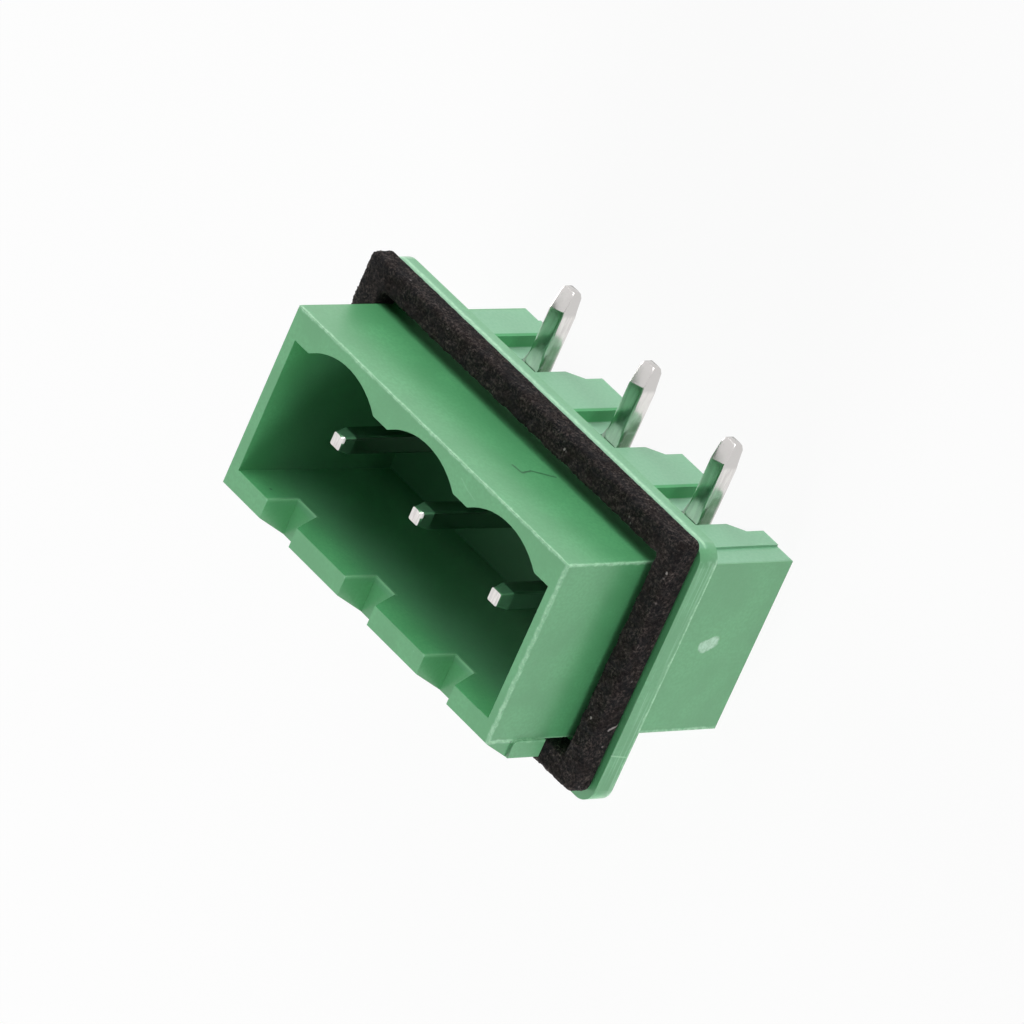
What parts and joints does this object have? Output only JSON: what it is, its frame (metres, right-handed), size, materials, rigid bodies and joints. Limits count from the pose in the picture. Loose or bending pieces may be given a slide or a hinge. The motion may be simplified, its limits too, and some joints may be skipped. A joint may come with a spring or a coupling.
{
  "type": "pluggable terminal block",
  "caption": "Three-way right-angle board header of a pluggable terminal block, green moulded housing with panel flange, black foam gasket and tinned square contacts.",
  "frame": {"origin": "where the axis of the middle contact's blade crosses the plane of the rear face, which the part stands on", "axes": "+Z out of the mouth, the way the plug leaves; +X along the row of contacts; -Y towards the circuit board, the way the solder tails point"},
  "size_m": [0.0202, 0.0127, 0.0117],
  "materials": {
    "housing": "satin moulded polyamide, green",
    "gasket": "matt closed-cell foam, black",
    "contacts": "bright tin plating"
  },
  "bodies": {
    "root": {"housing": "housing", "gasket": "gasket", "contact_1": "contacts", "contact_2": "contacts", "contact_3": "contacts"}
  },
  "joints": []
}
